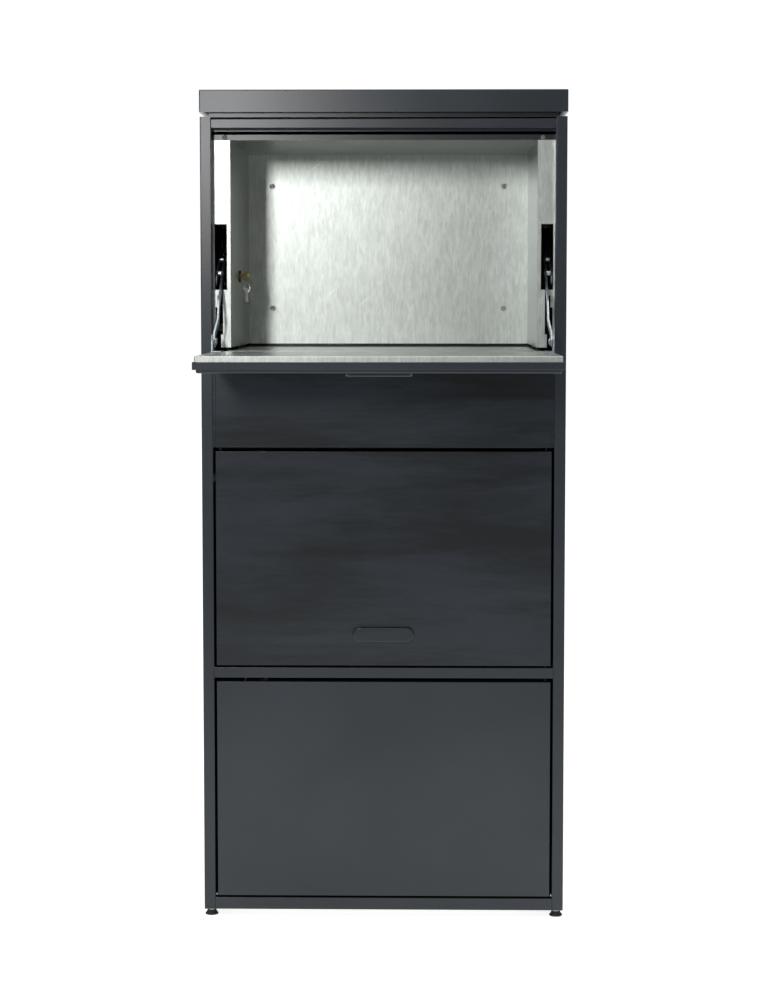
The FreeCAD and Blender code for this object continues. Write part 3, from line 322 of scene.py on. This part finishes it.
# nodes and pieces whose finish differs from the one that their slot names
handledSteel = powderCoatedSteel("handledPowderCoatedSteel", handledCoat)
ownFinish = {
    "storage_door": handledSteel,
    "fascia_panel": handledSteel,
    "front_hinge_pins": platedMetal("blackenedSteelPins", blackenedPins),
    # the ceiling takes the darker sheet, whose grey is painted shade
    "hopper_ceiling": galvanisedSheet("shadeDarkenedGalvanisedSheet", shadeDarkenedZinc),
    "lock_key": platedMetal("wornBrassKey", wornKey),
}
slotOf = {part["node"]: part["material_slot"] for part in frame["record"]["subparts"]}
bodyOf = {node: body for body, nodes in frame["record"]["behaviour"]["bodies"].items()
          for node in nodes}
for name, node in frame["nodes"].items():
    for slot in node.material_slots:
        slot.material = ownFinish.get(name, finishes[slotOf[name]])
print("materials on", len(slotOf), "nodes")


def keep(name, mesh, slotName, body):
    piece = bpy.data.objects.new(name, mesh)
    bpy.context.scene.collection.objects.link(piece)
    piece.data.materials.append(ownFinish.get(name, finishes[slotName]))
    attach(piece, body)
    return piece


def joined(name, parts):
    # one mesh out of several bmeshes
    whole = bpy.data.meshes.new(name)
    gather = bmesh.new()
    for part in parts:
        step = bpy.data.meshes.new("step")
        part.to_mesh(step)
        gather.from_mesh(step)
        bpy.data.meshes.remove(step)
        part.free()
    bmesh.ops.recalc_face_normals(gather, faces=gather.faces)
    gather.to_mesh(whole)
    gather.free()
    return whole


def quarter(steps):
    # the angles of a quarter turn, both ends among them
    return [math.radians(90 * i / steps) for i in range(steps + 1)]


def lathe(profile, place, axis, steps):
    # a closed turned shape; profile is (radius, height) in mm along axis from place
    shape = bmesh.new()
    verts = [shape.verts.new((r * mm, 0, h * mm)) for r, h in profile]
    edges = [shape.edges.new(pair) for pair in zip(verts, verts[1:])]
    bmesh.ops.spin(shape, geom=verts + edges, axis=(0, 0, 1), cent=(0, 0, 0), steps=steps,
                   angle=2 * math.pi, use_duplicate=False)
    bmesh.ops.remove_doubles(shape, verts=shape.verts, dist=1e-6)
    turn = Vector((0, 0, 1)).rotation_difference(Vector(axis)).to_matrix().to_4x4()
    bmesh.ops.transform(shape, matrix=Matrix.Translation(place) @ turn, verts=shape.verts)
    for face in shape.faces:
        face.smooth = True
    return shape


def skin(shape, loops):
    # a band of faces between each loop of corners and the next
    for loop, following in zip(loops, loops[1:]):
        for corners in zip(loop, loop[1:] + loop[:1], following[1:] + following[:1], following):
            shape.faces.new(corners)


def solidBoxes(node):
    # the lowest and highest corner of each separate solid of a node
    shape = bmesh.new()
    shape.from_mesh(frame["nodes"][node].data)
    bmesh.ops.remove_doubles(shape, verts=shape.verts, dist=1e-6)
    found = []
    left = set(shape.verts)
    while left:
        group = [left.pop()]
        for vert in group:
            for edge in vert.link_edges:
                other = edge.other_vert(vert)
                if other in left:
                    left.remove(other)
                    group.append(other)
        low = Vector([min(v.co[i] for v in group) for i in range(3)])
        high = Vector([max(v.co[i] for v in group) for i in range(3)])
        found.append((low, high))
    shape.free()
    return found


# Levelling feet: a ribbed moulded pad that flares to the floor, in mm. The rim, ease and cone
# heights are above the floor, and those of the neck are below its top.
foot = {"ribs": 24, "stepsPerRib": 4, "ribDepth": 0.5, "ribFrom": 1.2, "edge": 0.8,
        "rimTop": 2.2, "easeIn": 0.5, "easeTop": 2.8, "coneIn": 2.0, "coneTop": 4.4,
        "neck": 7.0, "neckLow": 1.2, "neckHigh": 0.5, "neckEase": 0.6}


def levellingFeet():
    parts = []
    for low, high in solidBoxes("foot_pads"):
        middle = (low + high) / 2
        radius = (high.x - low.x) / 2 / mm
        height = (high.z - low.z) / mm
        profile = [(0, 0), (radius - foot["edge"], 0), (radius, foot["edge"]),
                   (radius, foot["rimTop"]), (radius - foot["easeIn"], foot["easeTop"]),
                   (radius - foot["coneIn"], foot["coneTop"]),
                   (foot["neck"], height - foot["neckLow"]),
                   (foot["neck"], height - foot["neckHigh"]),
                   (foot["neck"] - foot["neckEase"], height), (0, height)]
        pad = lathe(profile, (middle.x, middle.y, low.z), (0, 0, 1),
                    foot["ribs"] * foot["stepsPerRib"])
        for vert in pad.verts:
            flat = Vector((vert.co.x - middle.x, vert.co.y - middle.y))
            if flat.length > foot["neck"] * mm and vert.co.z - low.z > foot["ribFrom"] * mm:
                angle = math.atan2(flat.y, flat.x)
                pull = 0.5 - 0.5 * math.cos(foot["ribs"] * angle)
                flat *= 1 - foot["ribDepth"] * mm * pull / flat.length
                vert.co.x = middle.x + flat.x
                vert.co.y = middle.y + flat.y
        parts.append(pad)
    piece = keep("levelling_feet", joined("levelling_feet", parts), "black_plastic", "cabinet")
    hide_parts("foot_pads")


# Door bumpers: a low domed rubber button; the rim is the share of its height below the dome
bumper = {"rim": 0.45, "domeSteps": 6, "steps": 40}


def doorBumpers():
    parts = []
    for low, high in solidBoxes("door_bumpers"):
        middle = (low + high) / 2
        radius = (high.x - low.x) / 2 / mm
        height = (high.y - low.y) / mm
        rim = bumper["rim"]
        dome = [(radius * math.cos(a), height * (rim + (1 - rim) * math.sin(a)))
                for a in quarter(bumper["domeSteps"])]
        parts.append(lathe([(0, 0), (radius, 0)] + dome, (middle.x, high.y, middle.z), (0, -1, 0),
                           bumper["steps"]))
    piece = keep("rubber_door_bumpers", joined("rubber_door_bumpers", parts), "grey_rubber",
                 "cabinet")
    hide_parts("door_bumpers")


# Covers of the wall fixings: a pressed steel cap with a dimple on a stem, in mm
cover = {"dimple": 1.5, "dimpleDeep": 0.9, "lip": 1.9, "lipDrop": 0.15, "crown": 2.4,
         "shoulderIn": 1.0, "shoulderDrop": 0.25, "rimDrop": 0.9, "head": 1.2,
         "stem": 3.1, "stemEase": 0.3, "steps": 40}


def fixingCovers():
    parts = []
    for low, high in solidBoxes("wall_hole_plugs"):
        middle = (low + high) / 2
        radius = (high.x - low.x) / 2 / mm
        length = (high.y - low.y) / mm
        profile = [(0, length - cover["dimpleDeep"]),
                   (cover["dimple"], length - cover["dimpleDeep"]),
                   (cover["lip"], length - cover["lipDrop"]), (cover["crown"], length),
                   (radius - cover["shoulderIn"], length - cover["shoulderDrop"]),
                   (radius, length - cover["rimDrop"]), (radius, length - cover["head"]),
                   (cover["stem"], length - cover["head"]), (cover["stem"], cover["stemEase"]),
                   (cover["stem"] - cover["stemEase"], 0), (0, 0)]
        parts.append(lathe(profile, (middle.x, high.y, middle.z), (0, -1, 0), cover["steps"]))
    piece = keep("fixing_covers", joined("fixing_covers", parts), "galvanised_sheet", "cabinet")
    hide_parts("wall_hole_plugs")


levellingFeet()
doorBumpers()
fixingCovers()
print("feet, bumpers and covers made")


# Set heads of the arm rivets, on both ends of each, in mm
rivet = {"radius": 4.2, "height": 1.7, "domeSteps": 6, "steps": 32}


def rivetHeads():
    dome = [(rivet["radius"] * math.cos(a), rivet["height"] * math.sin(a))
            for a in quarter(rivet["domeSteps"])]
    for side, sign in (("left", -1), ("right", 1)):
        parts = []
        for low, high in solidBoxes("arm_bolts_" + side):
            middle = (low + high) / 2
            inward = high.x if sign < 0 else low.x
            outward = low.x if sign < 0 else high.x
            for face, away in ((inward, -sign), (outward, sign)):
                parts.append(lathe([(0, 0)] + dome, (face, middle.y, middle.z), (away, 0, 0),
                                   rivet["steps"]))
        name = "arm_rivet_heads_" + side
        keep(name, joined(name, parts), "bright_steel", "arm_" + side)


rivetHeads()
print("rivet heads made")

# Keys: a stamped bow with a crowned face and an eye, and a blade with cuts. Sizes are in mm;
# rise is a share of the way across the bow, and the blade's shares are of its length or width.
keyLook = {"edge": 0.35, "crown": 0.25, "rise": 0.12, "steps": 64,
           "cuts": (1.1, 0.3, 1.6, 0.6, 1.3, 0.2), "shoulder": 0.12, "firstCut": 0.2,
           "cutSpan": 0.72, "cutWidth": 0.05, "tip": 0.3, "slope": 0.93, "ease": 0.2,
           "root": 4.0, "thin": 0.9}
lockKey = {"eye": 2.3, "bladeHalf": 3.1, "ringPlay": 0.4}
hangingKey = {"eye": 3.1, "eyeUp": 2.9, "bladeHalf": 2.6}


def loopBetween(inner, innerRadius, outer, outerRadius, share, depth):
    # a ring of points part of the way from one circle to another, in the X-Z plane
    points = []
    for step in range(keyLook["steps"]):
        turn = 2 * math.pi * step / keyLook["steps"]
        spoke = Vector((math.cos(turn), 0, math.sin(turn)))
        a = inner + spoke * innerRadius
        b = outer + spoke * outerRadius
        point = a.lerp(b, share)
        point.y = depth
        points.append(point)
    return points


def bow(middle, radius, eye, eyeRadius, half):
    # a disc with an off-centre eye, eased edges and a slight crown
    edge = keyLook["edge"] * mm
    crown = keyLook["crown"] * mm
    rise = keyLook["rise"]
    rings = [(0.0, -half + edge), (rise, -half + crown), (0.5, -half), (1 - rise, -half + crown),
             (1.0, -half + edge)]
    rings += [(share, -depth) for share, depth in reversed(rings)]
    shape = bmesh.new()
    loops = [[shape.verts.new(p) for p in loopBetween(eye, eyeRadius, middle, radius, share,
                                                      middle.y + depth)]
             for share, depth in rings]
    skin(shape, loops + loops[:1])
    for face in shape.faces:
        face.smooth = True
    return shape


def blade(start, end, half, thick):
    # a flat blade from start to end with the key's cuts along one edge
    along = (end - start).normalized()
    across = Vector((-along.z, 0, along.x))
    length = (end - start).length
    cuts = keyLook["cuts"]
    edge = [start + across * half, start + along * length * keyLook["shoulder"] + across * half]
    for number, cut in enumerate(cuts):
        at = length * (keyLook["firstCut"] + keyLook["cutSpan"] * number / len(cuts))
        deep = across * (half - cut * mm)
        edge.append(start + along * at + deep)
        edge.append(start + along * (at + length * keyLook["cutWidth"]) + deep)
    edge += [end + across * half * keyLook["tip"], end - across * half * keyLook["tip"],
             start + along * length * keyLook["slope"] - across * half, start - across * half]
    shape = bmesh.new()
    front = [shape.verts.new(p + Vector((0, -thick, 0))) for p in edge]
    back = [shape.verts.new(p + Vector((0, thick, 0))) for p in edge]
    shape.faces.new(front)
    shape.faces.new(reversed(back))
    skin(shape, [front, back])
    bmesh.ops.bevel(shape, geom=shape.edges[:], offset=keyLook["ease"] * mm, segments=2,
                    affect="EDGES")
    return shape


def keys():
    low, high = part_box("key")
    radius = (high.z - low.z) / 2
    middle = Vector((high.x - radius, (low.y + high.y) / 2, (low.z + high.z) / 2))
    half = (high.y - low.y) / 2
    root = keyLook["root"] * mm
    ringLow, ringHigh = max(solidBoxes("key_rings"), key=lambda pair: pair[1].z)
    ringMiddle = (ringLow + ringHigh) / 2
    eye = Vector((ringMiddle.x, middle.y, ringHigh.z - lockKey["ringPlay"] * mm))
    parts = [bow(middle, radius, eye, lockKey["eye"] * mm, half),
             blade(Vector((middle.x - root, middle.y, middle.z)),
                   Vector((low.x, middle.y, middle.z)),
                   lockKey["bladeHalf"] * mm, half * keyLook["thin"])]
    piece = keep("lock_key", joined("lock_key", parts), "nickel_plate", "lock_core")
    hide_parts("key")

    low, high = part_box("spare_key")
    radius = (high.x - low.x) / 2
    middle = Vector(((low.x + high.x) / 2, (low.y + high.y) / 2, high.z - radius))
    eye = Vector((middle.x, middle.y, middle.z + hangingKey["eyeUp"] * mm))
    parts = [bow(middle, radius, eye, hangingKey["eye"] * mm, half),
             blade(Vector((middle.x, middle.y, middle.z - root)),
                   Vector((middle.x, middle.y, low.z)),
                   hangingKey["bladeHalf"] * mm, half * keyLook["thin"])]
    piece = keep("hanging_key", joined("hanging_key", parts), "nickel_plate", "key_bunch")
    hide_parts("spare_key")


# Key rings: spring wire wound twice round, with filed ends. Wires are radii in mm; the pitch
# of the winding and the thickness of its ends are shares of the wire.
splitRing = {"turns": 1.9, "steps": 120, "sides": 12, "pitch": 1.9, "endThin": 0.35,
             "endGrow": 12, "smallUnder": 16.0, "smallWire": 0.32, "wire": 0.42}


def woundRing(middle, normal, radius, wire):
    first = normal.orthogonal().normalized()
    second = normal.cross(first).normalized()
    shape = bmesh.new()
    loops = []
    for step in range(splitRing["steps"] + 1):
        share = step / splitRing["steps"]
        turn = 2 * math.pi * splitRing["turns"] * share
        outward = first * math.cos(turn) + second * math.sin(turn)
        shift = (share - 0.5) * splitRing["pitch"] * wire
        at = middle + outward * radius + normal * shift
        fromEnd = min(share, 1 - share)
        thin = wire * min(1.0, splitRing["endThin"] + splitRing["endGrow"] * fromEnd)
        loop = []
        for side in range(splitRing["sides"]):
            angle = 2 * math.pi * side / splitRing["sides"]
            spoke = outward * math.cos(angle) + normal * math.sin(angle)
            loop.append(shape.verts.new(at + spoke * thin))
        loops.append(loop)
    skin(shape, loops)
    shape.faces.new(loops[0])
    shape.faces.new(reversed(loops[-1]))
    for face in shape.faces:
        face.smooth = len(face.verts) == 4
    return shape


def keyRings():
    parts = []
    for low, high in solidBoxes("key_rings"):
        middle = (low + high) / 2
        small = (high.z - low.z) < splitRing["smallUnder"] * mm
        wire = (splitRing["smallWire"] if small else splitRing["wire"]) * mm
        normal = Vector((1, 0, 0)) if small else Vector((1, 1, 0)).normalized()
        parts.append(woundRing(middle, normal, (high.z - low.z) / 2 - 2 * wire, wire))
    piece = keep("split_rings", joined("split_rings", parts), "nickel_plate", "key_bunch")
    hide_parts("key_rings")


# Lock: a threaded barrel with a rounded collar and a dished face, in mm
lockLook = {"pitch": 1.0, "threadDepth": 0.5, "barrel": 8.0, "bore": 5.05, "collar": 3.0,
            "round": 0.9, "roundSteps": 5, "face": 6.4, "dish": 5.9, "dishDeep": 0.35,
            "steps": 48}


def lockBarrel():
    low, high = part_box("lock_body")
    middle = (low + high) / 2
    length = (high.x - low.x) / mm
    reach = (high.z - low.z) / 2 / mm
    shoulder = length - lockLook["collar"]
    pitch = lockLook["pitch"]
    root = lockLook["barrel"] - lockLook["threadDepth"]
    profile = [(lockLook["bore"], 0), (root, 0)]
    at = pitch / 2
    while at < shoulder - pitch:
        profile += [(lockLook["barrel"], at), (root, at + pitch / 2)]
        at += pitch
    profile += [(root, shoulder), (reach, shoulder)]
    profile += [(reach - lockLook["round"] * (1 - math.cos(a)),
                 length - lockLook["round"] * (1 - math.sin(a)))
                for a in quarter(lockLook["roundSteps"])]
    profile += [(lockLook["face"], length), (lockLook["dish"], length - lockLook["dishDeep"]),
                (lockLook["bore"], length - lockLook["dishDeep"]), (lockLook["bore"], 0)]
    shape = lathe(profile, (low.x, middle.y, middle.z), (1, 0, 0), lockLook["steps"])
    piece = keep("lock_barrel", joined("lock_barrel", [shape]), "lock_brass", "cabinet")
    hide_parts("lock_body")


# The lock's hexagon nut behind the wall: the chamfer is what its corners lose, in mm, and the
# rise is the share of it that the chamfer goes along the axis
nut = {"steps": 72, "chamfer": 1.2, "rise": 0.6}


def lockNut():
    # the nut's axis is along X and its corners touch the box
    low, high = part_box("lock_nut")
    middle = (low + high) / 2
    corner = (high.z - low.z) / 2
    flat = corner * math.cos(math.radians(30))
    cut = nut["chamfer"] * mm
    rise = cut * nut["rise"]
    # place along X, whether on the outside, and how much the corners lose there
    rings = [(low.x, False, 0), (low.x, True, cut), (low.x + rise, True, 0),
             (high.x - rise, True, 0), (high.x, True, cut), (high.x, False, 0)]
    shape = bmesh.new()
    loops = []
    for x, outside, lost in rings:
        loop = []
        for step in range(nut["steps"]):
            turn = 2 * math.pi * step / nut["steps"]
            side = flat / math.cos((turn % math.radians(60)) - math.radians(30))
            reach = min(side, corner - lost) if outside else lockLook["barrel"] * mm
            loop.append(shape.verts.new((x, middle.y + reach * math.cos(turn),
                                         middle.z + reach * math.sin(turn))))
        loops.append(loop)
    skin(shape, loops + loops[:1])
    piece = keep("lock_hex_nut", joined("lock_hex_nut", [shape]), slotOf["lock_nut"], "cabinet")
    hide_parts("lock_nut")


# Pivot bolts of the drop door: a domed head, a plain shank and a riveted end, in mm
bolt = {"shank": 3.5, "head": 3.0, "round": 1.6, "domeSteps": 6, "edge": 0.3, "tail": 0.6,
        "steps": 40}


def pivotBolts():
    parts = []
    for low, high in solidBoxes("door_pivot_bolts"):
        middle = (low + high) / 2
        inward = -1 if middle.x > 0 else 1
        reach = (high.z - low.z) / 2 / mm
        length = (high.x - low.x) / mm
        start = low.x if inward < 0 else high.x
        dome = [(reach * math.cos(a), bolt["round"] * (1 - math.sin(a)))
                for a in reversed(quarter(bolt["domeSteps"]))]
        profile = dome + [(reach, bolt["head"] - bolt["edge"]),
                          (reach - bolt["edge"], bolt["head"]), (bolt["shank"], bolt["head"]),
                          (bolt["shank"], length - bolt["tail"]),
                          (bolt["shank"] - bolt["tail"], length), (0, length)]
        parts.append(lathe(profile, (start, middle.y, middle.z), (-inward, 0, 0), bolt["steps"]))
    piece = keep("domed_pivot_bolts", joined("domed_pivot_bolts", parts),
                 slotOf["door_pivot_bolts"], bodyOf["door_pivot_bolts"])
    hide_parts("door_pivot_bolts")


# Pressed arms, plates and brackets: sheared blanks whose edges are tumbled round. The edge is
# in mm; sharp and flat are the angles, in degrees, over and under which faces meet so.
pressedNodes = ("link_arm_left", "link_arm_right", "arm_plate_left", "arm_plate_right",
                "door_bracket_left", "door_bracket_right")
pressed = {"edge": 0.4, "segments": 2, "sharp": 35.0, "flat": 1.0}


def tumbled(node):
    shape = bmesh.new()
    shape.from_mesh(frame["nodes"][node].data)
    bmesh.ops.remove_doubles(shape, verts=shape.verts, dist=1e-6)
    bmesh.ops.dissolve_limit(shape, angle_limit=math.radians(pressed["flat"]),
                             verts=shape.verts, edges=shape.edges)
    sharpEdges = [e for e in shape.edges if len(e.link_faces) == 2
                  and e.calc_face_angle() > math.radians(pressed["sharp"])]
    bmesh.ops.bevel(shape, geom=sharpEdges, offset=pressed["edge"] * mm,
                    segments=pressed["segments"], affect="EDGES", clamp_overlap=True)
    piece = keep("pressed_" + node, joined("pressed_" + node, [shape]), slotOf[node],
                 bodyOf[node])
    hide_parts(node)


lockBarrel()
lockNut()
keys()
keyRings()
pivotBolts()
for node in pressedNodes:
    tumbled(node)
print("lock, keys, bolts and pressed arms made")

# Floor: a white acrylic sheet lit from below; what it throws on the object fades out in front.
# The size and the two places along Y are in metres.
stage = {"floor": "#f6f6f5", "roughness": 0.85, "size": 30.0, "glow": 0.82, "thrown": 0.75,
         "glowFrom": -2.6, "glowFull": -0.7}


def floorPlane():
    mesh = bpy.data.meshes.new("studioFloor")
    half = stage["size"] / 2
    mesh.from_pydata([(-half, -half, 0), (half, -half, 0), (half, half, 0), (-half, half, 0)],
                     [], [(0, 1, 2, 3)])
    floor = bpy.data.objects.new("studioFloor", mesh)
    bpy.context.scene.collection.objects.link(floor)
    material, shader = newMaterial("matt white acrylic",
                                   {"colour": stage["floor"], "roughness": stage["roughness"]})
    shader.inputs["Emission Color"].default_value = toLinear(stage["floor"])
    place = addNode(material, "ShaderNodeTexCoord")
    apart = addNode(material, "ShaderNodeSeparateXYZ", None, {"Vector": (place, "Object")})
    near = addNode(material, "ShaderNodeMapRange",
                   {"From Min": stage["glowFrom"], "From Max": stage["glowFull"],
                    "To Max": stage["thrown"]},
                   {"Value": (apart, "Y")})
    seen = addNode(material, "ShaderNodeLightPath")
    lit = addNode(material, "ShaderNodeMath", {"operation": "MAXIMUM"},
                  {0: (near, "Result"), 1: (seen, "Is Camera Ray")})
    glow = addNode(material, "ShaderNodeMath", {"operation": "MULTIPLY", 1: stage["glow"]},
                   {0: (lit, "Value")})
    feed(material, shader, "Emission Strength", glow, "Value")
    mesh.materials.append(material)


# A small softbox up at the viewer's left and a wide one overhead: metres and watts
lights = {
    "side softbox": {"at": (-0.63, -3.75, 1.56), "target": (0, 0, 1.1), "size": (0.22, 0.5),
                     "power": 17.0},
    "top softbox": {"at": (0.0, -0.7, 3.6), "target": (0, 0, 0), "size": (2.6, 2.2),
                    "power": 30.0},
}


def areaLight(name, lamp):
    light = bpy.data.lights.new(name, "AREA")
    light.shape = "RECTANGLE"
    light.size, light.size_y = lamp["size"]
    light.energy = lamp["power"]
    holder = bpy.data.objects.new(name, light)
    holder.location = lamp["at"]
    aim = Vector(lamp["target"]) - Vector(lamp["at"])
    holder.rotation_euler = aim.to_track_quat("-Z", "Y").to_euler()
    bpy.context.scene.collection.objects.link(holder)


# The studio round it: white where it is looked at. On the object it acts as a white wall behind
# and dim walls in front, dimmest low down and on the right. Where each change starts and ends
# is a share of the direction's length along Z, X or Y.
room = {"wall": 1.03, "low": 0.06, "high": 0.52, "lowUntil": 0.02, "highFrom": 0.3,
        "rightShare": 0.7, "leftUntil": -0.25, "rightFrom": 0.6, "wallFrom": 0.8,
        "wallFull": 0.93}


def studioRoom():
    world = bpy.data.worlds.new("studio")
    world.use_nodes = True
    place = addNode(world, "ShaderNodeTexCoord")
    toward = addNode(world, "ShaderNodeSeparateXYZ", None, {"Vector": (place, "Generated")})
    rise = addNode(world, "ShaderNodeMapRange",
                   {"From Min": room["lowUntil"], "From Max": room["highFrom"],
                    "To Min": room["low"], "To Max": room["high"]},
                   {"Value": (toward, "Z")})
    side = addNode(world, "ShaderNodeMapRange",
                   {"From Min": room["leftUntil"], "From Max": room["rightFrom"],
                    "To Min": 1.0, "To Max": room["rightShare"]},
                   {"Value": (toward, "X")})
    dim = addNode(world, "ShaderNodeMath", {"operation": "MULTIPLY"},
                  {0: (rise, "Result"), 1: (side, "Result")})
    behind = addNode(world, "ShaderNodeMapRange",
                     {"From Min": room["wallFrom"], "From Max": room["wallFull"]},
                     {"Value": (toward, "Y")})
    seen = addNode(world, "ShaderNodeLightPath")
    white = addNode(world, "ShaderNodeMath", {"operation": "MAXIMUM"},
                    {0: (behind, "Result"), 1: (seen, "Is Camera Ray")})
    strength = addNode(world, "ShaderNodeMix", {"data_type": "FLOAT", 3: room["wall"]},
                       {0: (white, "Value"), 2: (dim, "Value")})
    background = world.node_tree.nodes["Background"]
    background.inputs["Color"].default_value = (1.0, 1.0, 1.0, 1.0)
    feed(world, background, "Strength", strength, 0)
    bpy.context.scene.world = world


floorPlane()
for name, lamp in lights.items():
    areaLight(name, lamp)
studioRoom()
bpy.context.scene.view_settings.view_transform = "Standard"

# The camera stands in front, a little to the right of the middle and at three quarters of the
# box's height, and looks slightly down: metres, degrees and millimetres
view = {"at": (0.077, -3.8055, 0.985), "leftTurn": 1.12, "down": 4.72, "lens": 85.6,
        "sensor": 36.0}
camera = bpy.data.cameras.new("front camera")
camera.sensor_fit = "VERTICAL"
camera.sensor_height = view["sensor"]
camera.lens = view["lens"]
holder = bpy.data.objects.new("front camera", camera)
holder.location = view["at"]
holder.rotation_euler = (math.radians(90 - view["down"]), 0, math.radians(view["leftTurn"]))
bpy.context.scene.collection.objects.link(holder)
bpy.context.scene.camera = holder
print("stage, lights and camera set")
